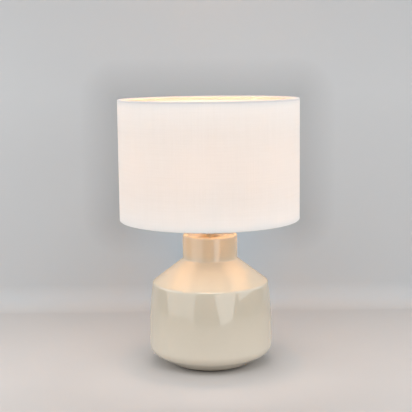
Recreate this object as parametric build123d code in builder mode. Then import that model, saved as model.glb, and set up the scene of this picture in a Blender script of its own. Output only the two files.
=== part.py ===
"""Table lamp: glazed ceramic base, E27 lampholder, LED bulb and linen drum shade.

Frame: +Z up, origin at the centre of the foot on the surface it stands on, and the
cable's hole at the back, towards +Y. Millimetres. Screw threads are drawn as rings
with running clearance, so that a threaded piece can slide along its axis.
"""

from build123d import *
import os
from math import atan2, pi, sqrt, tan

# ------------------------------------------------------------- driving dimensions
# Ceramic base: radius and height of each corner of its half section
wall = 5.5
pad_thickness, pad_r = 2.0, 62.0
foot_r = 66.5
bevel_top_r, bevel_top_z = 103.3, 23.7
belly_r, belly_z = 103.5, 62.0
shoulder_r, shoulder_z = 97.3, 139.4
neck_r, neck_foot_z = 45.8, 178.6
neck_top_z = 220.0
outer_rounds = (8.5, 18, 6.5, 3.5, 4)
inner_rounds = (4, 12.5, 2, 8, 1.5)
foot_opening_r, nipple_hole_r = 42.0, 5.5
cable_z, cable_hole_r, cable_bore_r = 41.0, 6.0, 3.5
grommet_flange_r, grommet_flange, grommet_seat = 8.5, 2.2, 0.6

# Fixing through the neck
nipple_r, nipple_bore_r, nipple_length = 5.0, 3.75, 28.0
fixing_bore_r = 5.2
soft_washer, steel_washer, toothed_washer, nut_height = 2.0, 1.5, 1.0, 5.0
soft_washer_r, steel_washer_r = 17.0, 16.0
toothed_washer_r, tooth_count, tooth_width, tooth_length = 7.6, 12, 2.0, 2.4
nut_across_flats = 14.0

# Lampholder
seat_thickness = 1.0
boss_r, boss_height = 8.25, 3.5
holder_r, holder_inner_r = 19.8, 17.2
cap_height, cap_floor, cap_well_r = 26.0, 6.5, 14.5
dome_foot_r, dome_height, dome_bend_r = 15.5, 7.5, 8.7
grub_hole_r, grub_r, grub_length, grub_slot = 1.25, 1.2, 2.8, 0.5
skirt_height = 28.0
flange_r, flange_thickness, flange_rise = 27.0, 2.4, 6.0
holder_pitch, thread_depth, thread_turns = 2.5, 0.8, 8
skirt_lip_r, skirt_lip, skirt_chamfer = 15.3, 2.4, 0.6
core_r, core_height, wire_hole_r = 16.6, 16.0, 2.0
terminal_offset, terminal_r, terminal_length = 9.0, 1.5, 6.0
terminal_head_r, terminal_head, terminal_slot = 2.75, 2.0, 0.7
leaf, leaf_width, leaf_height, leaf_sunk = 0.5, 5.0, 11.0, 4.8
leaf_at_r = 15.1
contact_rise, contact_width = 3.0, 5.0
sleeve_hole_r = 6.5
shell_r, shell_wall, shell_turns = 13.6, 0.4, 5
lamp_pitch, lamp_thread_depth = 3.63, 0.6

# Bulb
bulb_cap_r, bulb_cap_wall, bulb_cap_turns = 12.4, 0.5, 4
thread_rise, cap_rim_height = 7.5, 6.0
tip_r, tip_height = 4.6, 1.9
insulator_r, insulator_foot_r, insulator_height = 9.6, 5.2, 6.1
globe_r, globe_wall, globe_joint_r = 30.0, 1.5, 26.0
bulb_length = 108.0
housing_foot_r, housing_waist_r, housing_skin = 14.4, 17.6, 1.6
chip_count, chip_circle_r, chip_length, chip_width, chip_height = 10, 15.0, 2.8, 3.5, 0.7
led_board_r, board_thickness, driver_width = 22.0, 1.6, 15.0

# Shade
shade_r, shade_bottom_z, shade_height = 150.0, 245.0, 200.0
linen, film, glue_gap = 0.8, 0.5, 0.1
wire_r, arm_wire_r, hem_cloth = 1.6, 1.5, 0.4
arm_count, arm_start_angle, arm_bend_r, arm_slope_run = 3, 90, 10.0, 18.0
arm_end_r, weld_depth = 29.2, 0.3
seam_angle, seam_width = 57, 12.0

# Carrier hub, and the ring that clamps it to the lampholder
play = 0.1
hub_bore_r, hub_r, hub_plate = 21.0, 32.0, 1.6
ring_bore_r, ring_flange_r, ring_grip_r = 20.2, 28.5, 25.0
ring_height, ring_flange, ring_chamfer, ring_turns = 10.0, 2.2, 0.8, 4
ring_grips, grip_r = 24, 1.9

# ------------------------------------------------------------- worked out from them
neck_ceiling_z = neck_top_z - wall
cap_z = neck_top_z + seat_thickness
skirt_z = cap_z + cap_height
skirt_top_z = skirt_z + skirt_height
flange_top_z = skirt_z + flange_rise
core_top_z = skirt_z + 1.0
core_z = core_top_z - core_height
contact_top_z = core_top_z + contact_rise
bulb_z = contact_top_z + play
globe_centre_z = bulb_z + bulb_length - globe_r
globe_joint_z = globe_centre_z - sqrt(globe_r**2 - globe_joint_r**2)
bulb_thread_z = bulb_z + thread_rise
bulb_thread_top_z = bulb_thread_z + bulb_cap_turns * lamp_pitch
hub_z = flange_top_z + play
ring_z = hub_z + hub_plate + play
shade_top_z = shade_bottom_z + shade_height
linen_inner_r = shade_r - linen
film_r = linen_inner_r - glue_gap
hem_r = wire_r + glue_gap + hem_cloth
wire_path_r = film_r - hem_r
top_wire_z = shade_top_z - hem_r
bottom_wire_z = shade_bottom_z + hem_r
film_bottom_z = shade_bottom_z + 2 * hem_r + glue_gap
film_height = shade_height - 4 * hem_r - 2 * glue_gap

os.makedirs("parts", exist_ok=True)


def save(piece, name):
    """Write a finished piece under the name of its node."""
    piece.part.label = name
    export_step(piece.part, f"parts/{name}.step")


def disc(outer_r, bottom_z, height, bore_r=0.0):
    """A flat disc about the lamp's axis, with a bore if it is a washer or a tube."""
    with BuildPart() as piece:
        with BuildSketch(Plane.XY.offset(bottom_z)):
            Circle(outer_r)
            if bore_r:
                Circle(bore_r, mode=Mode.SUBTRACT)
        extrude(amount=height)
    return piece


def turned(*corners):
    """A solid turned about the lamp's axis from (radius, height) corners."""
    with BuildPart() as piece:
        with BuildSketch(Plane.XZ):
            with BuildLine():
                Polyline(*corners, close=True)
            make_face()
        revolve(axis=Axis.Z)
    return piece


def wire_ring(section_r, height, bore_r=0.0):
    """A ring of wire, or a rolled tube of cloth, that runs round inside the shade."""
    with BuildPart() as piece:
        with BuildSketch(Plane.XZ):
            with Locations((wire_path_r, height)):
                Circle(section_r)
                if bore_r:
                    Circle(bore_r, mode=Mode.SUBTRACT)
        revolve(axis=Axis.Z)
    return piece


def ridges(root_r, crest_r, bottom_z, turns):
    """Corners of a shade-ring thread, from its lowest turn to its highest."""
    corners = []
    for turn in range(turns):
        start = bottom_z + turn * holder_pitch
        corners += [
            (root_r, start),
            (crest_r, start + 0.3 * holder_pitch),
            (crest_r, start + 0.7 * holder_pitch),
        ]
    return corners + [(root_r, bottom_z + turns * holder_pitch)]


def round_turns(valley_r, bottom_z, turns):
    """Rounded turns of a lamp thread, drawn into the line that is being built."""
    for turn in range(turns):
        start = bottom_z + turn * lamp_pitch
        crest = (valley_r + lamp_thread_depth, start + lamp_pitch / 2)
        ThreePointArc((valley_r, start), crest, (valley_r, start + lamp_pitch))


# ------------------------------------------------------------- ceramic base
def base_section(inset, rounds):
    """Half of the base's section, with every face moved inwards by inset.

    rounds holds the radii at the foot, bevel, shoulder, foot of the neck and lip.
    """
    bevel = atan2(bevel_top_z - pad_thickness, bevel_top_r - foot_r)
    cone = atan2(neck_foot_z - shoulder_z, shoulder_r - neck_r)
    rise = inset * tan((pi / 2 - bevel) / 2)
    drop = inset * tan((pi / 2 - cone) / 2)
    foot = (foot_r - inset * tan(bevel / 2), pad_thickness + inset)
    bevel_top = (bevel_top_r - inset, bevel_top_z + rise)
    belly = (belly_r - inset, belly_z)
    shoulder = (shoulder_r - inset, shoulder_z - drop)
    neck_foot = (neck_r - inset, neck_foot_z - drop)
    lip = (neck_r - inset, neck_top_z - inset)
    with BuildSketch(Plane.XZ) as section:
        with BuildLine():
            Polyline((0, foot[1]), foot, bevel_top)
            ThreePointArc(bevel_top, belly, shoulder)
            Polyline(shoulder, neck_foot, lip, (0, lip[1]), (0, foot[1]))
        make_face()
        for corner, radius in zip((foot, bevel_top, shoulder, neck_foot, lip), rounds):
            fillet(section.vertices().sort_by_distance(corner)[0], radius)
    return section.sketch


with BuildPart() as ceramic_base:
    revolve(base_section(0, outer_rounds), axis=Axis.Z)
    revolve(base_section(wall, inner_rounds), axis=Axis.Z, mode=Mode.SUBTRACT)
    # Hole for the nipple in the top of the neck
    with BuildSketch(Plane.XY.offset(neck_top_z)):
        Circle(nipple_hole_r)
    extrude(amount=-2 * wall, mode=Mode.SUBTRACT)
    # Wide opening in the foot, for a hand and a spanner
    with BuildSketch(Plane.XY.offset(pad_thickness)):
        Circle(foot_opening_r)
    extrude(amount=2 * wall, mode=Mode.SUBTRACT)
    # Cable hole, square to the back wall
    with BuildSketch(Plane.XZ.offset(2 * wall - belly_r)):
        with Locations((0, cable_z)):
            Circle(cable_hole_r)
    extrude(amount=-4 * wall, mode=Mode.SUBTRACT)
save(ceramic_base, "ceramic_base")

save(disc(pad_r, 0, pad_thickness), "base_pad")

with BuildPart() as cable_grommet:
    back, inside = belly_r + grommet_flange, belly_r - wall - grommet_flange
    # The flanges reach into the curved wall by this much, and are cut to it below
    outer_seat, inner_seat = belly_r - grommet_seat, belly_r - wall + 0.2
    # Half section along the cable: a flange each side of the wall and a bore
    with BuildSketch(Plane.YZ):
        with BuildLine():
            Polyline(
                (inside, cable_z + cable_bore_r),
                (back, cable_z + cable_bore_r),
                (back, cable_z + grommet_flange_r - 1),
                (back - 1, cable_z + grommet_flange_r),
                (outer_seat, cable_z + grommet_flange_r),
                (outer_seat, cable_z + cable_hole_r),
                (inner_seat, cable_z + cable_hole_r),
                (inner_seat, cable_z + grommet_flange_r - 1),
                (inside, cable_z + grommet_flange_r - 1),
                close=True,
            )
        make_face()
    revolve(axis=Axis((0, 0, cable_z), (0, 1, 0)))
    add(ceramic_base.part, mode=Mode.SUBTRACT)
save(cable_grommet, "cable_grommet")

# ------------------------------------------------------------- fixing through the neck
nipple_top_z = cap_z + 6.0
with BuildPart() as threaded_nipple:
    with BuildSketch(Plane.XY.offset(nipple_top_z - nipple_length)):
        Circle(nipple_r)
        Circle(nipple_bore_r, mode=Mode.SUBTRACT)
    extrude(amount=nipple_length)
    chamfer(threaded_nipple.edges().filter_by(GeomType.CIRCLE), 0.4)
save(threaded_nipple, "threaded_nipple")

save(disc(boss_r, neck_top_z, seat_thickness, fixing_bore_r), "seat_washer")
soft_z = neck_ceiling_z - soft_washer
save(disc(soft_washer_r, soft_z, soft_washer, fixing_bore_r), "rubber_washer")
steel_z = soft_z - steel_washer
save(disc(steel_washer_r, steel_z, steel_washer, fixing_bore_r), "clamp_washer")

toothed_z = steel_z - toothed_washer
with BuildPart() as lock_washer:
    with BuildSketch(Plane.XY.offset(toothed_z)):
        Circle(toothed_washer_r)
        with PolarLocations(toothed_washer_r + 0.6, tooth_count):
            Rectangle(tooth_length, tooth_width)
        Circle(fixing_bore_r, mode=Mode.SUBTRACT)
    extrude(amount=toothed_washer)
save(lock_washer, "lock_washer")

nut_z = toothed_z - nut_height
with BuildPart() as nipple_nut:
    with BuildSketch(Plane.XY.offset(nut_z)):
        RegularPolygon(nut_across_flats / 2, 6, major_radius=False)
    extrude(amount=nut_height)
    # Corners turned off below
    with BuildSketch(Plane.XY.offset(nut_z)):
        Circle(nut_across_flats / 2)
    extrude(amount=nut_height, taper=-45, mode=Mode.INTERSECT)
    with BuildSketch(Plane.XY.offset(nut_z)):
        Circle(nipple_r + 0.05)
    extrude(amount=nut_height, mode=Mode.SUBTRACT)
save(nipple_nut, "nipple_nut")

# ------------------------------------------------------------- lampholder
cap_floor_z = cap_z + cap_floor
grub_z = cap_z + boss_height / 2
with BuildPart() as holder_cap:
    with BuildSketch(Plane.XZ):
        with BuildLine():
            # Outside: the boss, a rounded dome and a straight side
            dome = (dome_foot_r, cap_z + boss_height)
            side = (holder_r, dome[1] + dome_height)
            Polyline((nipple_r + 0.05, cap_z), (boss_r, cap_z), (boss_r, dome[1]), dome)
            RadiusArc(dome, side, -dome_bend_r)
            # Inside: a seat for the core, then the floor round the nipple
            Polyline(
                side,
                (holder_r, skirt_z),
                (holder_inner_r, skirt_z),
                (holder_inner_r, core_z),
                (cap_well_r, core_z),
                (cap_well_r, cap_floor_z),
                (nipple_r + 0.05, cap_floor_z),
                (nipple_r + 0.05, cap_z),
            )
        make_face()
    revolve(axis=Axis.Z)
    with BuildSketch(Plane.XZ):
        with Locations((0, grub_z)):
            Circle(grub_hole_r)
    extrude(amount=-2 * boss_r, mode=Mode.SUBTRACT)
save(holder_cap, "holder_cap")

with BuildPart() as grub_screw:
    with BuildSketch(Plane.XZ.offset(-(nipple_r + 0.1))):
        with Locations((0, grub_z)):
            Circle(grub_r)
    extrude(amount=-grub_length)
    # Screwdriver slot in the outer end
    with BuildSketch(Plane.XZ.offset(-(nipple_r + 1.9))):
        with Locations((0, grub_z)):
            Rectangle(3 * grub_r, grub_slot)
    extrude(amount=-grub_length, mode=Mode.SUBTRACT)
save(grub_screw, "grub_screw")

holder_skirt = turned(
    (holder_inner_r, skirt_z),
    (holder_r, skirt_z),
    (holder_r, flange_top_z - flange_thickness),
    (flange_r, flange_top_z - flange_thickness),
    (flange_r, flange_top_z),
    *ridges(holder_r - thread_depth, holder_r, flange_top_z, thread_turns),
    (holder_r - thread_depth, skirt_top_z - skirt_chamfer),
    (holder_r - thread_depth - skirt_chamfer, skirt_top_z),
    # Lip that keeps fingers off the live sleeve
    (skirt_lip_r, skirt_top_z),
    (skirt_lip_r, skirt_top_z - skirt_lip),
    (holder_inner_r, skirt_top_z - skirt_lip),
)
save(holder_skirt, "holder_skirt")

with BuildPart() as holder_core:
    with BuildSketch(Plane.XY.offset(core_z)):
        Circle(core_r)
        # Holes for the two wires
        with PolarLocations(terminal_offset, 2, start_angle=90):
            Circle(wire_hole_r, mode=Mode.SUBTRACT)
    extrude(amount=core_height)
    # Terminal screws enter from below
    with BuildSketch(Plane.XY.offset(core_z)):
        with PolarLocations(terminal_offset, 2):
            Circle(terminal_r)
    extrude(amount=terminal_length + 1, mode=Mode.SUBTRACT)
    # Slot for the leaf that feeds the sleeve
    with BuildSketch(Plane.XY.offset(core_top_z)):
        with Locations((leaf_at_r, 0)):
            Rectangle(leaf + 0.4, leaf_width + 0.6)
    extrude(amount=-leaf_sunk - 0.2, mode=Mode.SUBTRACT)
save(holder_core, "holder_core")

with BuildPart() as terminal_screws:
    with BuildSketch(Plane.XY.offset(core_z)):
        with PolarLocations(terminal_offset, 2):
            Circle(terminal_r - 0.05)
    extrude(amount=terminal_length)
    with BuildSketch(Plane.XY.offset(core_z)):
        with PolarLocations(terminal_offset, 2):
            Circle(terminal_head_r)
    extrude(amount=-terminal_head)
    with BuildSketch(Plane.XY.offset(core_z - terminal_head)):
        with PolarLocations(terminal_offset, 2):
            Rectangle(2.2 * terminal_head_r, terminal_slot)
    extrude(amount=terminal_head / 2, mode=Mode.SUBTRACT)
save(terminal_screws, "terminal_screws")

shell_z = core_top_z + shell_wall
with BuildPart() as screw_shell:
    with BuildSketch(Plane.XZ):
        with BuildLine():
            top = shell_z + shell_turns * lamp_pitch
            Polyline((shell_r, shell_z), (sleeve_hole_r, shell_z), (sleeve_hole_r, core_top_z))
            Line((sleeve_hole_r, core_top_z), (shell_r + shell_wall, core_top_z))
            Line((shell_r + shell_wall, core_top_z), (shell_r + shell_wall, shell_z))
            round_turns(shell_r + shell_wall, shell_z, shell_turns)
            Line((shell_r + shell_wall, top), (shell_r, top))
            round_turns(shell_r, shell_z, shell_turns)
        make_face()
    revolve(axis=Axis.Z)
save(screw_shell, "screw_shell")

with BuildPart() as centre_contact:
    # A leaf that springs up from the core to the bulb's tip
    foot_z, tip_z = core_top_z, contact_top_z - leaf
    with BuildSketch(Plane.XZ):
        with BuildLine():
            Polyline(
                (-5.8, foot_z),
                (-2.8, foot_z),
                (-0.6, tip_z),
                (4.2, tip_z),
                (4.2, tip_z + leaf),
                (-1.0, tip_z + leaf),
                (-3.2, foot_z + leaf),
                (-5.8, foot_z + leaf),
                close=True,
            )
        make_face()
    extrude(amount=contact_width / 2, both=True)
save(centre_contact, "centre_contact")

with BuildPart() as shell_contact:
    with BuildSketch(Plane.XY.offset(core_top_z - leaf_sunk)):
        with Locations((leaf_at_r, 0)):
            Rectangle(leaf, leaf_width)
    extrude(amount=leaf_height)
save(shell_contact, "shell_contact")

# ------------------------------------------------------------- bulb
tip_top_z = bulb_z + tip_height
with BuildPart() as bulb_contact:
    with BuildSketch(Plane.XZ):
        with BuildLine():
            ThreePointArc((0, bulb_z), (2.6, bulb_z + 0.35), (tip_r, bulb_z + 1.3))
            Polyline((tip_r, bulb_z + 1.3), (tip_r, tip_top_z), (0, tip_top_z), (0, bulb_z))
        make_face()
    revolve(axis=Axis.Z)
save(bulb_contact, "bulb_contact")

insulator_top_z = bulb_z + insulator_height
bulb_insulator = turned(
    (0, tip_top_z),
    (insulator_foot_r, tip_top_z),
    (insulator_r, insulator_top_z - 1),
    (insulator_r, insulator_top_z),
    (0, insulator_top_z),
)
save(bulb_insulator, "bulb_insulator")

with BuildPart() as bulb_cap:
    inner_r, plain_r = bulb_cap_r - bulb_cap_wall, bulb_cap_r + lamp_thread_depth
    cap_foot_r, cap_rim_z = insulator_r + 0.1, bulb_thread_top_z + cap_rim_height
    with BuildSketch(Plane.XZ):
        with BuildLine():
            Line((cap_foot_r, insulator_top_z - 0.8), (bulb_cap_r, bulb_thread_z))
            round_turns(bulb_cap_r, bulb_thread_z, bulb_cap_turns)
            Polyline(
                (bulb_cap_r, bulb_thread_top_z),
                (plain_r, bulb_thread_top_z + 0.8),
                (plain_r, cap_rim_z),
                (plain_r - bulb_cap_wall, cap_rim_z),
                (plain_r - bulb_cap_wall, bulb_thread_top_z + 1.1),
                (inner_r, bulb_thread_top_z + 0.3),
                (inner_r, bulb_thread_z + 0.3),
                (cap_foot_r, insulator_top_z),
                (cap_foot_r, insulator_top_z - 0.8),
            )
        make_face()
    revolve(axis=Axis.Z)
save(bulb_cap, "bulb_cap")

housing_z = cap_rim_z - 2
housing_waist_z = housing_z + 0.45 * (globe_joint_z - housing_z)
with BuildPart() as bulb_housing:
    with BuildSketch(Plane.XZ):
        with BuildLine():
            Polyline(
                (plain_r + 0.05, housing_z + 2),
                (plain_r + 0.05, housing_z),
                (housing_foot_r, housing_z),
            )
            ThreePointArc(
                (housing_foot_r, housing_z),
                (housing_waist_r, housing_waist_z),
                (globe_joint_r, globe_joint_z),
            )
            inner_joint = (globe_joint_r - housing_skin, globe_joint_z)
            Line((globe_joint_r, globe_joint_z), inner_joint)
            ThreePointArc(
                inner_joint,
                (housing_waist_r - housing_skin, housing_waist_z),
                (plain_r + 0.05, housing_z + 2),
            )
        make_face()
    revolve(axis=Axis.Z)
save(bulb_housing, "bulb_housing")

with BuildPart() as bulb_globe:
    inner_r = globe_r - globe_wall
    inner_joint_r = sqrt(inner_r**2 - (globe_centre_z - globe_joint_z) ** 2)
    crown_z = globe_centre_z + globe_r
    with BuildSketch(Plane.XZ):
        with BuildLine():
            ThreePointArc(
                (globe_joint_r, globe_joint_z), (globe_r, globe_centre_z), (0, crown_z)
            )
            Line((0, crown_z), (0, crown_z - globe_wall))
            ThreePointArc(
                (0, crown_z - globe_wall),
                (inner_r, globe_centre_z),
                (inner_joint_r, globe_joint_z),
            )
            Line((inner_joint_r, globe_joint_z), (globe_joint_r, globe_joint_z))
        make_face()
    revolve(axis=Axis.Z)
save(bulb_globe, "bulb_globe")

board_z = globe_joint_z - board_thickness - 0.8
save(disc(led_board_r, board_z, board_thickness), "led_board")

with BuildPart() as led_chips:
    with BuildSketch(Plane.XY.offset(board_z + board_thickness)):
        with PolarLocations(chip_circle_r, chip_count):
            Rectangle(chip_length, chip_width)
    extrude(amount=chip_height)
save(led_chips, "led_chips")

with BuildPart() as driver_board:
    board_low_z = bulb_z + 12
    with BuildSketch(Plane.XZ):
        with Locations((0, (board_low_z + board_z - 1) / 2)):
            Rectangle(driver_width, board_z - 1 - board_low_z)
    extrude(amount=0.6, both=True)
    # Reservoir capacitor, choke and rectifier on one face
    with BuildSketch(Plane.XZ.offset(0.6)):
        with Locations((0, board_low_z + 12)):
            Rectangle(8, 14)
    extrude(amount=6)
    with BuildSketch(Plane.XY.offset(board_low_z + 28)):
        with Locations((0, -5.4)):
            Circle(5)
    extrude(amount=12)
    with BuildSketch(Plane.XZ.offset(-0.6)):
        with Locations((0, board_low_z + 24)):
            Rectangle(7, 9)
    extrude(amount=-3)
save(driver_board, "driver_board")

# ------------------------------------------------------------- shade ring
grip_z = ring_z + ring_flange
with BuildPart() as shade_ring:
    with BuildSketch(Plane.XZ):
        with BuildLine():
            Polyline(
                (ring_bore_r, ring_z),
                (ring_flange_r, ring_z),
                (ring_flange_r, grip_z - 0.4),
                (ring_grip_r, grip_z + 0.6),
                (ring_grip_r, ring_z + ring_height - ring_chamfer),
                (ring_grip_r - ring_chamfer, ring_z + ring_height),
                *reversed(ridges(ring_bore_r, ring_bore_r + 0.6, ring_z, ring_turns)),
            )
        make_face()
    revolve(axis=Axis.Z)
    # Scallops for the fingers
    with BuildSketch(Plane.XY.offset(grip_z + 0.6)):
        with PolarLocations(ring_grip_r + grip_r - 1, ring_grips):
            Circle(grip_r)
    extrude(amount=ring_height, mode=Mode.SUBTRACT)
save(shade_ring, "shade_ring")

# ------------------------------------------------------------- shade
carrier_hub = disc(hub_r, hub_z, hub_plate, hub_bore_r)
save(carrier_hub, "carrier_hub")

top_ring = wire_ring(wire_r, top_wire_z)
save(top_ring, "top_ring")
bottom_ring = wire_ring(wire_r, bottom_wire_z)
save(bottom_ring, "bottom_ring")

with BuildPart() as arm:
    # From the bottom ring up to the top of the hub, then straight in over its plate
    arm_z = hub_z + hub_plate + arm_wire_r - weld_depth
    with BuildLine(Plane.XZ) as arm_path:
        FilletPolyline(
            (wire_path_r, bottom_wire_z),
            (wire_path_r - arm_slope_run, arm_z),
            (arm_end_r, arm_z),
            radius=arm_bend_r,
        )
    with BuildSketch(Plane(origin=arm_path.line @ 0, z_dir=arm_path.line % 0)):
        Circle(arm_wire_r)
    sweep(path=arm_path.line)

with BuildPart() as carrier_arms:
    with PolarLocations(0, arm_count, start_angle=arm_start_angle):
        add(arm.part)
    # Welded end on to the ring, and along the top of the hub's plate
    add(bottom_ring.part, mode=Mode.SUBTRACT)
    add(carrier_hub.part, mode=Mode.SUBTRACT)
save(carrier_arms, "carrier_arms")

save(wire_ring(hem_r, top_wire_z, wire_r + glue_gap), "top_hem")
with BuildPart() as bottom_hem:
    add(wire_ring(hem_r, bottom_wire_z, wire_r + glue_gap).part)
    # The arms pass through the roll
    add(carrier_arms.part, mode=Mode.SUBTRACT)
save(bottom_hem, "bottom_hem")

save(disc(shade_r, shade_bottom_z, shade_height, linen_inner_r), "shade_fabric")
save(disc(film_r, film_bottom_z, film_height, film_r - film), "shade_liner")

with BuildPart() as side_seam:
    # Strip that laps the two ends of the sheet, inside the film
    seam_r = film_r - film - glue_gap
    with BuildSketch(Plane.XY.offset(film_bottom_z)):
        Circle(seam_r)
        Circle(seam_r - film, mode=Mode.SUBTRACT)
        with PolarLocations(seam_r, 1, start_angle=seam_angle):
            Rectangle(10, seam_width, mode=Mode.INTERSECT)
    extrude(amount=film_height)
save(side_seam, "side_seam")
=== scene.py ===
"""Looks of the table lamp: glazed ceramic base, lit bulb and linen drum shade.

Everything is in metres in the CAD frame: +Z up, the foot at the origin, the front
towards -Y. Shapes that Blender makes anew take their places from the CAD nodes.
"""

import math

import bpy
from mathutils import Matrix, Vector, noise


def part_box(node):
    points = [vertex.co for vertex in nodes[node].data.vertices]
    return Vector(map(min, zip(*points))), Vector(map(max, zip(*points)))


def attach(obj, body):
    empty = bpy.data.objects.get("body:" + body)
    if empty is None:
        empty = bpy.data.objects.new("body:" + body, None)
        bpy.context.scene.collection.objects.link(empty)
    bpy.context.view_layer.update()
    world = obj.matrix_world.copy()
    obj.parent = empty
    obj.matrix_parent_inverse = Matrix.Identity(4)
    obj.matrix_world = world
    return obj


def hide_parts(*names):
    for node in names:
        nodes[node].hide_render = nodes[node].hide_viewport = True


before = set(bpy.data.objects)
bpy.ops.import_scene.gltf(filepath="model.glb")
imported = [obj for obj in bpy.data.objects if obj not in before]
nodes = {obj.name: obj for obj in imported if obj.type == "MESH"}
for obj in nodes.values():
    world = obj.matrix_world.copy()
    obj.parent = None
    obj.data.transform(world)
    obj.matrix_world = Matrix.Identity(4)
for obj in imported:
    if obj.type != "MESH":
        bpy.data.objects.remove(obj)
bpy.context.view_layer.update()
MM = 0.001
scene = bpy.context.scene


# ------------------------------------------------------------- camera
CAMERA_PLACE = (-0.0059, -1.6176, 0.4958)
CAMERA_PITCH, CAMERA_ROLL = math.radians(8.08), math.radians(0.66)
SENSOR_WIDTH, LENS = 36.0, 85.4

camera = bpy.data.objects.new("camera", bpy.data.cameras.new("camera"))
camera.data.sensor_width = SENSOR_WIDTH
camera.data.lens = LENS
camera.matrix_world = (
    Matrix.Translation(CAMERA_PLACE)
    @ Matrix.Rotation(math.pi / 2 - CAMERA_PITCH, 4, "X")
    @ Matrix.Rotation(-CAMERA_ROLL, 4, "Z")
)
scene.collection.objects.link(camera)
scene.camera = camera
scene.view_settings.view_transform = "Standard"


# ------------------------------------------------------------- shader building
class Shader:
    """A material whose nodes are added by short calls. Inputs are values or sockets."""

    def __init__(self, name):
        self.material = bpy.data.materials.new(name)
        self.material.use_nodes = True
        self.tree = self.material.node_tree
        self.tree.nodes.clear()
        self.out = self.tree.nodes.new("ShaderNodeOutputMaterial")
        self.coords = self.tree.nodes.new("ShaderNodeTexCoord")
        self.object = self.coords.outputs["Object"]
        self.uv = self.coords.outputs["UV"]

    def node(self, kind, inputs, **settings):
        made = self.tree.nodes.new("ShaderNode" + kind)
        for key, value in settings.items():
            setattr(made, key, value)
        for key, value in inputs.items():
            socket = made.inputs[key]
            if isinstance(value, bpy.types.NodeSocket):
                self.tree.links.new(value, socket)
            else:
                socket.default_value = value
        return made

    def noise(self, vector, scale, detail=3.0, rough=0.5):
        """Noise from 0 to 1, scale in cycles per metre."""
        made = self.node(
            "TexNoise",
            {"Vector": vector, "Scale": scale, "Detail": detail, "Roughness": rough},
        )
        return made.outputs["Fac"]

    def stretch(self, vector, factors):
        return self.node("Mapping", {"Vector": vector, "Scale": factors}).outputs[0]

    def math(self, operation, a, b=0.0):
        return self.node("Math", {0: a, 1: b}, operation=operation).outputs[0]

    def remap(self, value, low, high, to_low=0.0, to_high=1.0):
        """The value's place between low and high, held inside the range it is mapped to."""
        made = self.node(
            "MapRange",
            {"Value": value, 1: low, 2: high, 3: to_low, 4: to_high},
        )
        return made.outputs[0]

    def mix(self, factor, a, b):
        """Colour a at factor 0 and b at factor 1."""
        made = self.node("Mix", {0: factor, 6: a, 7: b}, data_type="RGBA")
        return made.outputs[2]

    def height(self):
        """The point's Z in metres."""
        return self.node("SeparateXYZ", {0: self.object}).outputs["Z"]

    def bump(self, height, distance, strength, normal=None):
        inputs = {"Height": height, "Distance": distance, "Strength": strength}
        if normal is not None:
            inputs["Normal"] = normal
        return self.node("Bump", inputs).outputs[0]

    def principled(self, inputs):
        return self.node("BsdfPrincipled", inputs).outputs[0]

    def finish(self, surface):
        self.tree.links.new(surface, self.out.inputs["Surface"])
        return self.material


def rgb(r, g, b):
    """A linear colour."""
    return (r, g, b, 1.0)


# ------------------------------------------------------------- places that the looks depend on
shade_low, shade_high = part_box("shade_fabric")
SHADE_R, SHADE_BOTTOM, SHADE_TOP = shade_high.x, shade_low.z, shade_high.z
SHADE_MIDDLE = (SHADE_TOP + SHADE_BOTTOM) / 2
globe_low, globe_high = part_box("bulb_globe")
GLOBE_R, GLOBE_WALL = globe_high.x, 1.5 * MM
GLOBE_CENTRE_Z = globe_high.z - GLOBE_R

# Heights between which the glaze changes from one tone to the next, as painted light: paler towards
# the foot, paler on the cone, warmer on the neck
FOOT_TONE = (100 * MM, 30 * MM)
SHOULDER_TONE = (132 * MM, 146 * MM)
NECK_TONE = (178 * MM, 188 * MM)
BARE_FOOT = (5.2 * MM, 4.6 * MM)
# Distances from the shade's middle between which the linen turns paler, as painted light
PALE_EDGE = (50 * MM, 92 * MM)
# Heights of the thin shadow line painted under the top's rolled edge
FOLD_FROM, FOLD_TO = SHADE_TOP - 3.6 * MM, SHADE_TOP - 3.0 * MM
BULB_STRENGTH, CROWN_FADE = 57.0, 0.45


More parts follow.
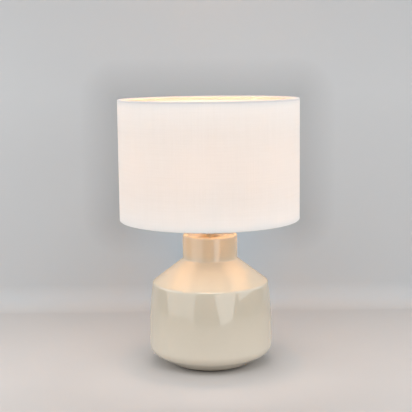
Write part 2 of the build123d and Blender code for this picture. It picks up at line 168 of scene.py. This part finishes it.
# ------------------------------------------------------------- materials
def glaze():
    """Glossy cream glaze over a buff body, bare round the foot, its tone changing with height as
    painted light.
    """
    s = Shader("glaze")
    cloud = s.noise(s.object, 14.0, 4.0)
    mottle = s.noise(s.object, 160.0, 3.0, 0.6)
    tone = s.math("ADD", s.math("MULTIPLY", cloud, 0.75), s.math("MULTIPLY", mottle, 0.25))
    # Painted light: paler towards the foot for the light thrown up from the table, paler on the
    # cone for light from above, and warmer on the neck for the bulb's light
    painted_table_light = s.remap(s.height(), *FOOT_TONE)
    upper = s.mix(tone, rgb(0.545, 0.49, 0.39), rgb(0.585, 0.53, 0.43))
    lower = s.mix(tone, rgb(0.655, 0.595, 0.49), rgb(0.695, 0.635, 0.53))
    painted_lit_cone = s.mix(tone, rgb(0.573, 0.529, 0.416), rgb(0.611, 0.567, 0.455))
    painted_lit_neck = s.mix(tone, rgb(0.60, 0.515, 0.37), rgb(0.64, 0.55, 0.41))
    cream = s.mix(painted_table_light, upper, lower)
    cream = s.mix(s.remap(s.height(), *SHOULDER_TONE), cream, painted_lit_cone)
    cream = s.mix(s.remap(s.height(), *NECK_TONE), cream, painted_lit_neck)
    # The glaze runs thin over the sharp edges and is paler there; this also paints a highlight
    # along the shoulder and lip
    pointy = s.node("NewGeometry", {}).outputs["Pointiness"]
    edge = s.remap(pointy, 0.51, 0.56, 0.0, 0.5)
    thin = s.mix(edge, cream, rgb(0.66, 0.57, 0.44))
    # The bare foot: the glaze is wiped off up to a slightly wavy line
    line = s.math("ADD", s.height(), s.math("MULTIPLY", s.noise(s.object, 45.0), 1.5 * MM))
    bare = s.remap(line, *BARE_FOOT)
    grit = s.noise(s.object, 900.0, 4.0, 0.7)
    bisque = s.mix(grit, rgb(0.48, 0.39, 0.29), rgb(0.62, 0.52, 0.40))
    colour = s.mix(bare, thin, bisque)
    gloss = s.remap(s.noise(s.object, 30.0, 2.0), 0.3, 0.7, 0.02, 0.05)
    rough = s.node("Mix", {0: bare, 2: gloss, 3: 0.85}, data_type="FLOAT").outputs[0]
    ripple = s.bump(s.noise(s.object, 22.0, 2.0), 0.4 * MM, 0.5)
    peel = s.bump(s.noise(s.object, 300.0, 2.0), 0.008 * MM, 0.5, ripple)
    return s.finish(s.principled({
        "Base Color": colour,
        "Roughness": rough,
        "IOR": 1.65,
        "Specular IOR Level": 0.7,
        "Normal": peel,
    }))


def linen():
    """Slubbed plain weave that lets the bulb's light through, with painted light making it paler
    towards both edges.
    """
    s = Shader("linen")
    warp = s.noise(s.stretch(s.uv, (1800.0, 22.0, 1.0)), 1.0, 2.0)
    weft = s.noise(s.stretch(s.uv, (22.0, 1800.0, 1.0)), 1.0, 2.0)
    slub_up = s.noise(s.stretch(s.uv, (420.0, 9.0, 1.0)), 1.0, 2.0)
    slub_along = s.noise(s.stretch(s.uv, (9.0, 420.0, 1.0)), 1.0, 2.0)
    threads = s.math("ADD", warp, weft)
    slubs = s.math("ADD", slub_up, slub_along)
    tone = s.math(
        "ADD", s.math("MULTIPLY", threads, 0.25), s.math("MULTIPLY", slubs, 0.25)
    )
    thread = s.remap(tone, 0.3, 0.7)
    colour = s.mix(thread, rgb(0.86, 0.85, 0.835), rgb(0.92, 0.91, 0.895))
    # Painted light: a paler tone towards the top and bottom edges
    pale = s.mix(thread, rgb(0.92, 0.915, 0.905), rgb(0.97, 0.967, 0.96))
    off_middle = s.math("ABSOLUTE", s.math("SUBTRACT", s.height(), SHADE_MIDDLE))
    colour = s.mix(s.remap(off_middle, *PALE_EDGE), colour, pale)
    # The rolled edge on top, seen as a thin darker line: a painted shadow of the hem and its wire
    painted_hem_shadow = s.remap(s.height(), FOLD_FROM, FOLD_TO)
    colour = s.mix(painted_hem_shadow, colour, rgb(0.82, 0.81, 0.82))
    through = s.mix(thread, rgb(0.86, 0.80, 0.71), rgb(0.93, 0.88, 0.80))
    normal = s.bump(tone, 0.25 * MM, 0.6)
    cloth = s.principled({
        "Base Color": colour,
        "Roughness": 0.92,
        "Diffuse Roughness": 1.0,
        "Specular IOR Level": 0.25,
        "Sheen Weight": 0.6,
        "Sheen Roughness": 0.45,
        "Normal": normal,
    })
    glow = s.node("BsdfTranslucent", {"Color": through, "Normal": normal}).outputs[0]
    return s.finish(s.node("MixShader", {0: 0.24, 1: cloth, 2: glow}).outputs[0])


def film():
    """Satin laminating film, inside the shade."""
    s = Shader("film")
    haze = s.noise(s.stretch(s.uv, (18.0, 6.0, 1.0)), 1.0, 3.0)
    colour = s.mix(haze, rgb(0.925, 0.93, 0.945), rgb(0.935, 0.94, 0.955))
    normal = s.bump(s.noise(s.uv, 12.0, 2.0), 0.2 * MM, 0.3)
    skin = s.principled({
        "Base Color": colour,
        "Roughness": s.remap(haze, 0.3, 0.7, 0.55, 0.65),
        "Specular IOR Level": 0.35,
        "Normal": normal,
    })
    glow = s.node("BsdfTranslucent", {"Color": colour}).outputs[0]
    return s.finish(s.node("MixShader", {0: 0.25, 1: skin, 2: glow}).outputs[0])


def hidden_face():
    """The side of the cloth or film that is glued down: light passes it freely."""
    s = Shader("glued_side")
    return s.finish(s.node("BsdfTransparent", {"Color": rgb(1, 1, 1)}).outputs[0])


def opal_lit():
    """Opal diffuser of the lit bulb, seen from outside."""
    s = Shader("opal")
    grain = s.noise(s.object, 250.0, 2.0)
    shine = s.mix(grain, rgb(1.0, 0.42, 0.11), rgb(1.0, 0.46, 0.14))
    # The light sources sit low, so the crown is fainter
    low, high = GLOBE_CENTRE_Z - GLOBE_R / 2, GLOBE_CENTRE_Z + GLOBE_R / 2
    crown = s.remap(s.height(), low, high, 0.0, CROWN_FADE)
    shine = s.mix(crown, shine, rgb(0.0, 0.0, 0.0))
    return s.finish(s.principled({
        "Base Color": rgb(0.9, 0.88, 0.84),
        "Roughness": 0.35,
        "Emission Color": shine,
        "Emission Strength": BULB_STRENGTH,
    }))


def opal_inside():
    """The same diffuser's inner wall, which gives no light of its own."""
    s = Shader("opal_inside")
    grain = s.noise(s.object, 250.0, 2.0)
    colour = s.mix(grain, rgb(0.84, 0.80, 0.74), rgb(0.90, 0.87, 0.82))
    return s.finish(s.principled({"Base Color": colour, "Roughness": 0.6}))


def moulded(name, low, high, rough):
    """Moulded plastic or rubber: faint flow marks and a fine grain."""
    s = Shader(name)
    flow = s.noise(s.object, 90.0, 3.0)
    grain = s.noise(s.object, 2400.0, 2.0)
    sheen = s.remap(flow, 0.3, 0.7, rough * 0.85, rough * 1.15)
    return s.finish(s.principled({
        "Base Color": s.mix(flow, rgb(*low), rgb(*high)),
        "Roughness": sheen,
        "Normal": s.bump(grain, 0.04 * MM, 0.5),
    }))


def metal(name, low, high, rough):
    """Turned or rolled metal: marks run round the lamp's axis."""
    s = Shader(name)
    rings = s.noise(s.stretch(s.object, (300.0, 300.0, 9000.0)), 1.0, 2.0)
    stain = s.noise(s.object, 160.0, 4.0)
    return s.finish(s.principled({
        "Base Color": s.mix(stain, rgb(*low), rgb(*high)),
        "Metallic": 1.0,
        "Roughness": s.remap(stain, 0.3, 0.7, rough * 0.8, rough * 1.3),
        "Normal": s.bump(rings, 0.03 * MM, 0.4),
    }))


def painted_wire():
    """White powder coat on steel wire."""
    s = Shader("painted_wire")
    orange_peel = s.noise(s.object, 1500.0, 2.0)
    flow = s.noise(s.object, 60.0, 2.0)
    return s.finish(s.principled({
        "Base Color": s.mix(flow, rgb(0.78, 0.77, 0.74), rgb(0.86, 0.85, 0.82)),
        "Roughness": 0.42,
        "Normal": s.bump(orange_peel, 0.08 * MM, 0.5),
    }))


def felt():
    """Dark felt: matted fibres."""
    s = Shader("felt")
    fibre = s.noise(s.stretch(s.object, (700.0, 2600.0, 1.0)), 1.0, 5.0, 0.7)
    cross = s.noise(s.stretch(s.object, (2600.0, 700.0, 1.0)), 1.0, 5.0, 0.7)
    mat = s.math("MULTIPLY", fibre, cross)
    colour = s.mix(s.remap(mat, 0.1, 0.5), rgb(0.02, 0.02, 0.02), rgb(0.10, 0.10, 0.095))
    return s.finish(s.principled({
        "Base Color": colour,
        "Roughness": 1.0,
        "Sheen Weight": 0.5,
        "Normal": s.bump(mat, 0.8 * MM, 0.8),
    }))


# ------------------------------------------------------------- mesh building
ARC_STEP = 7.0  # degrees between two points of a rounded corner
WOBBLE_SCALE = 18.0  # bumps of a hand-made wall, per metre


def add_mesh(name, points, faces, materials, face_materials=None, uvs=None):
    """A mesh object at the origin, with its vertices in the row frame."""
    mesh = bpy.data.meshes.new(name)
    mesh.from_pydata(points, [], faces)
    for material in materials:
        mesh.materials.append(material)
    if face_materials:
        mesh.polygons.foreach_set("material_index", face_materials)
    if uvs:
        layer = mesh.uv_layers.new(name="UVMap")
        flat = [c for face in faces for v in face for c in uvs[v]]
        layer.data.foreach_set("uv", flat)
    mesh.polygons.foreach_set("use_smooth", [True] * len(mesh.polygons))
    mesh.validate()
    mesh.update()
    obj = bpy.data.objects.new(name, mesh)
    scene.collection.objects.link(obj)
    return obj


def rounded(corners):
    """A path through (r, z, radius) corners, each turned with its radius."""
    path = []
    for i, (r, z, radius) in enumerate(corners):
        here = Vector((r, z))
        if radius <= 0 or i in (0, len(corners) - 1):
            path.append(here)
            continue
        back = (Vector(corners[i - 1][:2]) - here).normalized()
        ahead = (Vector(corners[i + 1][:2]) - here).normalized()
        half = back.angle(ahead) / 2
        centre = here + (back + ahead).normalized() * (radius / math.sin(half))
        start = here + back * (radius / math.tan(half))
        sweep = math.pi - 2 * half
        spin = 1 if (here - start).cross(ahead) > 0 else -1
        steps = max(3, math.ceil(math.degrees(sweep) / ARC_STEP))
        for k in range(steps + 1):
            arm = (start - centre).to_3d()
            turned = Matrix.Rotation(spin * sweep * k / steps, 3, "Z") @ arm
            path.append(centre + turned.to_2d())
    return path


def dense(path, step):
    """The same path with no two points further apart than step."""
    points = [path[0]]
    for a, b in zip(path, path[1:]):
        parts = max(1, math.ceil((b - a).length / step))
        points += [a.lerp(b, k / parts) for k in range(1, parts + 1)]
    return points


def through(a, b, c, count):
    """Points of the arc from a through b to c, with both ends."""
    a, b, c = Vector(a), Vector(b), Vector(c)
    d = 2 * (a.x * (b.y - c.y) + b.x * (c.y - a.y) + c.x * (a.y - b.y))
    sa, sb, sc = a.length_squared, b.length_squared, c.length_squared
    centre = Vector((
        (sa * (b.y - c.y) + sb * (c.y - a.y) + sc * (a.y - b.y)) / d,
        (sa * (c.x - b.x) + sb * (a.x - c.x) + sc * (b.x - a.x)) / d,
    ))
    start = math.atan2(a.y - centre.y, a.x - centre.x)
    end = math.atan2(c.y - centre.y, c.x - centre.x)
    radius = (a - centre).length
    return [
        centre + radius * Vector((math.cos(t), math.sin(t)))
        for t in (start + (end - start) * k / (count - 1) for k in range(count))
    ]


def turned(name, loop, segments, materials, wobble):
    """A closed (r, z) loop turned about the lamp's axis, off the axis all round."""
    points, faces = [], []
    count = len(loop)
    for i in range(segments):
        angle = 2 * math.pi * i / segments
        c, s = math.cos(angle), math.sin(angle)
        for r, z in loop:
            seed = Vector((r * c, r * s, z)) * WOBBLE_SCALE
            grow = wobble * noise.noise(seed)
            points.append(((r + grow) * c, (r + grow) * s, z))
    for i in range(segments):
        j = (i + 1) % segments
        for k in range(count):
            m = (k + 1) % count
            faces.append((i * count + k, j * count + k, j * count + m, i * count + m))
    return add_mesh(name, points, faces, materials)


# ------------------------------------------------------------- ceramic base
base_low, base_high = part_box("ceramic_base")
PAD_Z, NECK_TOP_Z = base_low.z, base_high.z
WALL = 5.5 * MM
FOOT = (66.5 * MM, PAD_Z)
BEVEL = (103.3 * MM, 23.7 * MM)
BELLY = (103.5 * MM, 62 * MM)
SHOULDER = (97.3 * MM, 139.4 * MM)
NECK = (45.8 * MM, 178.6 * MM)
LIP = (45.8 * MM, NECK_TOP_Z)
# Radii of the wall's turns at the foot, bevel, shoulder, neck and lip
OUTER_ROUNDS = [8.5 * MM, 18 * MM, 6.5 * MM, 3.5 * MM, 4 * MM]
INNER_ROUNDS = [4 * MM, 12.5 * MM, 2 * MM, 8 * MM, 1.5 * MM]
BELLY_POINTS = 25
FOOT_OPENING_R, NIPPLE_HOLE_R = 42 * MM, 5.5 * MM
CABLE_Z, CABLE_HOLE_R, CABLE_HOLE_SIDES = 41 * MM, 6 * MM, 48
BASE_SEGMENTS, BASE_STEP, HAND_WOBBLE = 200, 4 * MM, 0.12 * MM


def belly_points(inset, rise, drop):
    """The belly's curve between its two corners, left clear of their rounding."""
    arc = through(
        (BEVEL[0] - inset, BEVEL[1] + rise),
        (BELLY[0] - inset, BELLY[1]),
        (SHOULDER[0] - inset, SHOULDER[1] - drop),
        BELLY_POINTS,
    )
    return [(p.x, p.y, 0.0) for p in arc[3:-2]]


def base_path(inset, rounds):
    """Half of the base's section from the foot's opening to the nipple's hole."""
    bevel_angle = math.atan2(BEVEL[1] - FOOT[1], BEVEL[0] - FOOT[0])
    cone_angle = math.atan2(NECK[1] - SHOULDER[1], SHOULDER[0] - NECK[0])
    rise = inset * math.tan((math.pi / 2 - bevel_angle) / 2)
    drop = inset * math.tan((math.pi / 2 - cone_angle) / 2)
    corners = [
        (FOOT_OPENING_R, FOOT[1] + inset, 0.0),
        (FOOT[0] - inset * math.tan(bevel_angle / 2), FOOT[1] + inset, rounds[0]),
        (BEVEL[0] - inset, BEVEL[1] + rise, rounds[1]),
        *belly_points(inset, rise, drop),
        (SHOULDER[0] - inset, SHOULDER[1] - drop, rounds[2]),
        (NECK[0] - inset, NECK[1] - drop, rounds[3]),
        (LIP[0] - inset, LIP[1] - inset, rounds[4]),
        (NIPPLE_HOLE_R, LIP[1] - inset, 0.0),
    ]
    return rounded(corners)


def make_base():
    """The hollow ceramic body, with its wall's slight unevenness and the cable's hole."""
    outer = base_path(0.0, OUTER_ROUNDS)
    inner = base_path(WALL, INNER_ROUNDS)
    loop = dense(outer + inner[::-1], BASE_STEP)
    base = turned("ceramic_body", loop, BASE_SEGMENTS, [glaze()], HAND_WOBBLE)
    # The cable's hole, cut square through the back wall
    sides = CABLE_HOLE_SIDES
    ring = [
        (
            CABLE_HOLE_R * math.cos(2 * math.pi * k / sides),
            CABLE_Z + CABLE_HOLE_R * math.sin(2 * math.pi * k / sides),
        )
        for k in range(sides)
    ]
    near, far = base_high.y - 3 * WALL, base_high.y + 2 * WALL
    points = [(x, near, z) for x, z in ring] + [(x, far, z) for x, z in ring]
    faces = [(k, (k + 1) % sides, sides + (k + 1) % sides, sides + k) for k in range(sides)]
    faces += [tuple(range(sides))[::-1], tuple(range(sides, 2 * sides))]
    cutter = add_mesh("cutter", points, faces, [])
    cut = base.modifiers.new("cable_hole", "BOOLEAN")
    cut.operation = "DIFFERENCE"
    cut.solver = "EXACT"
    cut.object = cutter
    depsgraph = bpy.context.evaluated_depsgraph_get()
    base.data = bpy.data.meshes.new_from_object(base.evaluated_get(depsgraph))
    base.modifiers.clear()
    bpy.data.objects.remove(cutter)
    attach(base, "base")
    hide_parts("ceramic_base")


make_base()


# ------------------------------------------------------------- linen and film of the shade
WIRE_R = 1.6 * MM
ring_low, ring_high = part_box("bottom_ring")
WIRE_PATH_R = ring_high.x - WIRE_R
BOTTOM_WIRE_Z = ring_low.z + WIRE_R
TOP_WIRE_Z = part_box("top_ring")[1].z - WIRE_R
film_low, film_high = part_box("shade_liner")
FILM_R, FILM = film_high.x, 0.5 * MM
CLOTH = 0.5 * MM
LAP_ANGLE, LAP = math.radians(57), 12 * MM
# Where along the strip its end starts to climb onto its start, and over what share
CLIMB_START, CLIMB_SHARE = 0.955, 0.02
# The hem: cloth turned down inside, its play round the wire, and its outer corner
HEM_TURN, HEM_RISE, HEM_PLAY, HEM_CORNER = 2.5 * MM, 1.6 * MM, 0.05 * MM, 1.5 * MM
WRAP_DEGREES = range(40, 271, 10)
CLOTH_STEP, FILM_STEP = 5 * MM, 6 * MM
CLOTH_COLUMNS, FILM_COLUMNS = 300, 240


def hem_profile(edge_z, wire_z, up):
    """The cloth's middle line from the cut edge inside to the start of the flat wall.

    It runs down the film's inner face, round the wire, and out to the wall.
    """
    inside_r = FILM_R - FILM - CLOTH
    wrap_r = WIRE_R + CLOTH / 2 + HEM_PLAY
    flat = [
        Vector((inside_r, wire_z + up * (wrap_r + HEM_TURN))),
        Vector((inside_r, wire_z + up * (wrap_r + HEM_RISE))),
    ]
    arc = []
    for degrees in WRAP_DEGREES:
        turn = math.radians(degrees)
        offset = Vector((math.cos(turn), up * math.sin(turn))) * wrap_r
        arc.append(Vector((WIRE_PATH_R, wire_z)) + offset)
    inset = CLOTH / 2 + HEM_CORNER
    centre = Vector((SHADE_R - inset, edge_z + up * inset))
    bend = [
        centre + HEM_CORNER * Vector((math.cos(t), up * math.sin(t)))
        for t in (math.radians(-90 + 10 * k) for k in range(10))
    ]
    return flat + arc + bend


def sheet_profile():
    """The cloth's middle line from the bottom hem's cut edge to the top's."""
    bottom = hem_profile(SHADE_BOTTOM, BOTTOM_WIRE_Z, 1)
    top = hem_profile(SHADE_TOP, TOP_WIRE_Z, -1)
    return dense(bottom + top[::-1], CLOTH_STEP)


def make_sheet(name, profile, thickness, lap, columns, face, back, lift):
    """A thin closed strip, bent round the lamp's axis and lapped on itself.

    face and back are the materials of the seen side and of the glued side.
    lift(share) is how far the strip stands out at each share of its length.
    """
    count = len(profile)
    normals = []
    for k in range(count):
        before, after = profile[max(0, k - 1)], profile[min(count - 1, k + 1)]
        along = (after - before).normalized()
        normals.append(Vector((along.y, -along.x)))
    runs = [0.0]
    for a, b in zip(profile, profile[1:]):
        runs.append(runs[-1] + (b - a).length)
    turn = 2 * math.pi + lap / SHADE_R
    points, uvs = [], []
    for side in (0.5, -0.5):
        for i in range(columns + 1):
            share = i / columns
            angle = LAP_ANGLE + turn * share
            c, s = math.cos(angle), math.sin(angle)
            for k in range(count):
                p = profile[k] + normals[k] * (side * thickness)
                r = p.x + lift(share)
                points.append((r * c, r * s, p.y))
                uvs.append((share * turn * SHADE_R, runs[k]))
    layer = (columns + 1) * count
    faces, picks = [], []

    def quad(a, b, c, d, pick):
        faces.append((a, b, c, d))
        picks.append(pick)

    for i in range(columns):
        for k in range(count - 1):
            a, b = i * count + k, (i + 1) * count + k
            quad(a, b, b + 1, a + 1, 0)
            quad(layer + a + 1, layer + b + 1, layer + b, layer + a, 1)
    for i in range(columns):
        for k, flip in ((0, True), (count - 1, False)):
            a, b = i * count + k, (i + 1) * count + k
            if flip:
                quad(layer + a, layer + b, b, a, 0)
            else:
                quad(a, b, layer + b, layer + a, 0)
    for k in range(count - 1):
        for i, flip in ((0, False), (columns, True)):
            a = i * count + k
            if flip:
                quad(layer + a, a, a + 1, layer + a + 1, 0)
            else:
                quad(a, layer + a, layer + a + 1, a + 1, 0)
    return add_mesh(name, points, faces, [face, back], picks, uvs)


def lap_lift(share):
    """The end of the linen climbs onto its start over the last stretch."""
    climb = (share - CLIMB_START) / CLIMB_SHARE
    return CLOTH * min(1.0, max(0.0, climb))


def no_lift(share):
    """The film's two ends meet edge to edge."""
    return 0.0


film_material, glued = film(), hidden_face()
cloth_path = sheet_profile()
shade_skin = make_sheet(
    "linen_sheet", cloth_path, CLOTH, LAP, CLOTH_COLUMNS, linen(), glued, lap_lift
)
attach(shade_skin, "shade")
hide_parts("shade_fabric", "top_hem", "bottom_hem")

film_path = dense(
    [Vector((FILM_R - FILM / 2, film_low.z)), Vector((FILM_R - FILM / 2, film_high.z))],
    FILM_STEP,
)
# Its seen side faces the bulb, so the path runs downwards
film_sheet = make_sheet(
    "film_sheet", film_path[::-1], FILM, 0.0, FILM_COLUMNS, film_material, glued, no_lift
)
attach(film_sheet, "shade")
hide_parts("shade_liner")


# ------------------------------------------------------------- bulb's globe
GLOBE_ROWS, GLOBE_COLUMNS = 40, 96


def make_globe():
    """The opal shell, open towards the housing and closed along its rim."""
    rows, columns = GLOBE_ROWS, GLOBE_COLUMNS
    points, faces, picks = [], [], []
    for radius in (GLOBE_R, GLOBE_R - GLOBE_WALL):
        low = math.asin(max(-1.0, (globe_low.z - GLOBE_CENTRE_Z) / radius))
        for k in range(rows):
            tilt = low + (math.pi / 2 - low) * k / rows
            z = GLOBE_CENTRE_Z + radius * math.sin(tilt)
            for i in range(columns):
                angle = 2 * math.pi * i / columns
                r = radius * math.cos(tilt)
                points.append((r * math.cos(angle), r * math.sin(angle), z))
        points.append((0.0, 0.0, GLOBE_CENTRE_Z + radius))
    layer = rows * columns + 1
    for i in range(columns):
        j = (i + 1) % columns
        for k in range(rows - 1):
            a, b = k * columns + i, k * columns + j
            faces.append((a, b, b + columns, a + columns))
            picks.append(0)
            faces.append((layer + a + columns, layer + b + columns, layer + b, layer + a))
            picks.append(1)
        a, b = (rows - 1) * columns + i, (rows - 1) * columns + j
        faces.append((a, b, layer - 1))
        picks.append(0)
        faces.append((layer + b, layer + a, 2 * layer - 1))
        picks.append(1)
        faces.append((i, layer + i, layer + j, j))
        picks.append(1)
    globe = add_mesh("globe", points, faces, [opal_lit(), opal_inside()], picks)
    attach(globe, "bulb")
    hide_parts("bulb_globe")


make_globe()


# ------------------------------------------------------------- finishes of the CAD nodes
FINISHES = [
    (felt(), ["base_pad"]),
    (
        moulded("rubber", (0.30, 0.28, 0.25), (0.38, 0.355, 0.32), 0.7),
        ["cable_grommet", "rubber_washer"],
    ),
    (
        metal("zinc_steel", (0.50, 0.50, 0.48), (0.66, 0.66, 0.63), 0.32),
        [
            "threaded_nipple", "seat_washer", "clamp_washer",
            "lock_washer", "nipple_nut", "grub_screw",
        ],
    ),
    (
        moulded("holder_plastic", (0.80, 0.79, 0.755), (0.85, 0.84, 0.81), 0.30),
        ["holder_skirt", "shade_ring"],
    ),
    (metal("holder_brass", (0.62, 0.40, 0.17), (0.74, 0.52, 0.25), 0.30), ["holder_cap"]),
    (moulded("core_plastic", (0.66, 0.63, 0.57), (0.74, 0.71, 0.65), 0.55), ["holder_core"]),
    (
        metal("brass", (0.66, 0.46, 0.20), (0.82, 0.62, 0.32), 0.28),
        ["terminal_screws", "screw_shell", "centre_contact", "shell_contact", "bulb_contact"],
    ),
    (metal("cap_metal", (0.66, 0.66, 0.66), (0.80, 0.80, 0.80), 0.25), ["bulb_cap"]),
    (moulded("bulb_plastic", (0.84, 0.84, 0.82), (0.90, 0.90, 0.88), 0.35), ["bulb_housing"]),
    (moulded("black_glass", (0.01, 0.01, 0.012), (0.03, 0.03, 0.035), 0.12), ["bulb_insulator"]),
    (moulded("board", (0.70, 0.72, 0.70), (0.80, 0.82, 0.80), 0.35), ["led_board", "driver_board"]),
    (moulded("phosphor", (0.90, 0.70, 0.20), (0.95, 0.80, 0.30), 0.4), ["led_chips"]),
    (painted_wire(), ["top_ring", "bottom_ring", "carrier_arms", "carrier_hub"]),
    (film_material, ["side_seam"]),
]
for material, names in FINISHES:
    for name in names:
        mesh = nodes[name].data
        mesh.materials.clear()
        mesh.materials.append(material)


# ------------------------------------------------------------- studio
FLOOR_FRONT, WALL_Y, COVE_R = -0.68, 0.38, 0.05
FLOOR_Z, STAGE_HALF, WALL_HEIGHT = -0.2 * MM, 0.74, 1.0
# The painted shadow on the wall round the shade: how far past the shade it starts, how far it is
# lowered, over what distance it fades, and how dark it is
HALO_SPREAD, HALO_DROP, HALO_WIDTH, HALO_DEPTH = 1.2, 0.032, 0.082, 0.22
# Painted shade: the wall is darkened a little from the shade's top to this height
TOP_DIM_Z, TOP_DIM = 0.62, 0.08
# A cooler patch painted on the wall behind the neck against the bulb's warm light: its middle, and
# where it is full and gone
COOL_Z, COOL_NEAR, COOL_FAR = 0.12, 0.07, 0.18
# Painted shade: the table is darkened a little towards its front edge
FRONT_NEAR, FRONT_FAR, FRONT_DIM = -0.12, -0.45, 0.11
WORLD_STRENGTH = 0.28


def stage_material():
    """Warm white table top running into a neutral grey wall, seen from the front only.

    A soft shadow is painted on the wall round the shade, painted shade darkens the wall above it
    and the table towards its front, and a cool tint is painted behind the neck against the bulb's
    warm light.
    """
    s = Shader("paper")
    grain = s.noise(s.object, 6.0, 3.0)
    table = s.mix(grain, rgb(0.55, 0.535, 0.525), rgb(0.57, 0.555, 0.545))
    wall = s.mix(grain, rgb(0.535, 0.545, 0.555), rgb(0.55, 0.56, 0.57))
    parts = s.node("SeparateXYZ", {0: s.object}).outputs
    sideways = s.math("ABSOLUTE", parts["X"])
    across = s.math("SUBTRACT", sideways, SHADE_R * HALO_SPREAD)
    upright = s.math("ABSOLUTE", s.math("SUBTRACT", parts["Z"], SHADE_MIDDLE - HALO_DROP))
    upright = s.math("SUBTRACT", upright, (SHADE_TOP - SHADE_BOTTOM) / 2 * HALO_SPREAD)
    across = s.math("MAXIMUM", across, 0.0)
    upright = s.math("MAXIMUM", upright, 0.0)
    away = s.math(
        "SQRT", s.math("ADD", s.math("POWER", across, 2.0), s.math("POWER", upright, 2.0))
    )
    # Painted shadow round the shade, and painted shade on the wall above it
    painted_wall_shadow = s.remap(away, 0.0, HALO_WIDTH, HALO_DEPTH, 0.0)
    painted_wall_shadow = s.math("ADD", painted_wall_shadow, s.remap(parts["Z"], SHADE_TOP, TOP_DIM_Z, 0.0, TOP_DIM))
    wall = s.mix(painted_wall_shadow, wall, rgb(0.0, 0.0, 0.0))
    # A cool tint painted behind the neck against the bulb's warm light
    off = s.math("ABSOLUTE", s.math("SUBTRACT", parts["Z"], COOL_Z))
    painted_cool_tint = s.remap(s.math("MAXIMUM", sideways, off), COOL_FAR, COOL_NEAR)
    wall = s.mix(painted_cool_tint, wall, rgb(0.50, 0.565, 0.62))
    # Painted shade towards the table's front edge
    front = s.remap(parts["Y"], FRONT_NEAR, FRONT_FAR, 0.0, FRONT_DIM)
    table = s.mix(front, table, rgb(0.0, 0.0, 0.0))
    rise = s.remap(parts["Z"], 0.0, 0.4 * COVE_R)
    paper = s.principled({
        "Base Color": s.mix(rise, table, wall),
        "Roughness": 0.9,
        "Specular IOR Level": 0.2,
    })
    behind = s.node("NewGeometry", {}).outputs["Backfacing"]
    clear = s.node("BsdfTransparent", {"Color": rgb(1, 1, 1)}).outputs[0]
    return s.finish(s.node("MixShader", {0: behind, 1: paper, 2: clear}).outputs[0])


def make_stage():
    """A pale table top with a backdrop that rises close behind the lamp."""
    path = rounded([
        (FLOOR_FRONT, FLOOR_Z, 0.0),
        (WALL_Y, FLOOR_Z, COVE_R),
        (WALL_Y, WALL_HEIGHT, 0.0),
    ])
    points = [(x, p.x, p.y) for p in path for x in (-STAGE_HALF, STAGE_HALF)]
    faces = [(2 * k, 2 * k + 1, 2 * k + 3, 2 * k + 2) for k in range(len(path) - 1)]
    sweep = add_mesh("stage_sweep", points, faces, [stage_material()])


make_stage()

world = bpy.data.worlds.new("room")
world.use_nodes = True
background = world.node_tree.nodes["Background"]
background.inputs["Color"].default_value = rgb(1.0, 1.0, 1.0)
background.inputs["Strength"].default_value = WORLD_STRENGTH
scene.world = world


# Name, place, the point it faces, width, height and brightness
SOFTBOXES = [
    ("softbox_left", (-1.04, -0.60, 0.6), (0, 0, 0.6), 1.65, 1.8, 0.85),
    ("softbox_right", (0.85, -0.98, 0.6), (0, 0, 0.6), 0.80, 1.8, 1.3),
    ("side_left", (-1.30, 0.10, 0.6), (0, 0, 0.6), 0.5, 1.8, 2.0),
    ("side_right", (1.30, -0.05, 0.6), (0, 0, 0.6), 1.0, 1.8, 1.2),
    ("softbox_top", (0, -1.5, 1.9), (0, 0, 0.2), 1.8, 1.2, 2.9),
    ("softbox_back", (0, 0.50, 1.7), (0, 0, 0.2), 0.9, 0.4, 6.5),
]


def softbox(name, place, aim, width, height, radiance):
    """A large plain area light that the camera doesn't see."""
    light = bpy.data.lights.new(name, "AREA")
    light.shape = "RECTANGLE"
    light.size = width
    light.size_y = height
    light.energy = radiance * math.pi * width * height
    obj = bpy.data.objects.new(name, light)
    obj.location = place
    obj.rotation_euler = (Vector(aim) - Vector(place)).to_track_quat("-Z", "Z").to_euler()
    obj.visible_camera = False
    scene.collection.objects.link(obj)


for row in SOFTBOXES:
    softbox(*row)
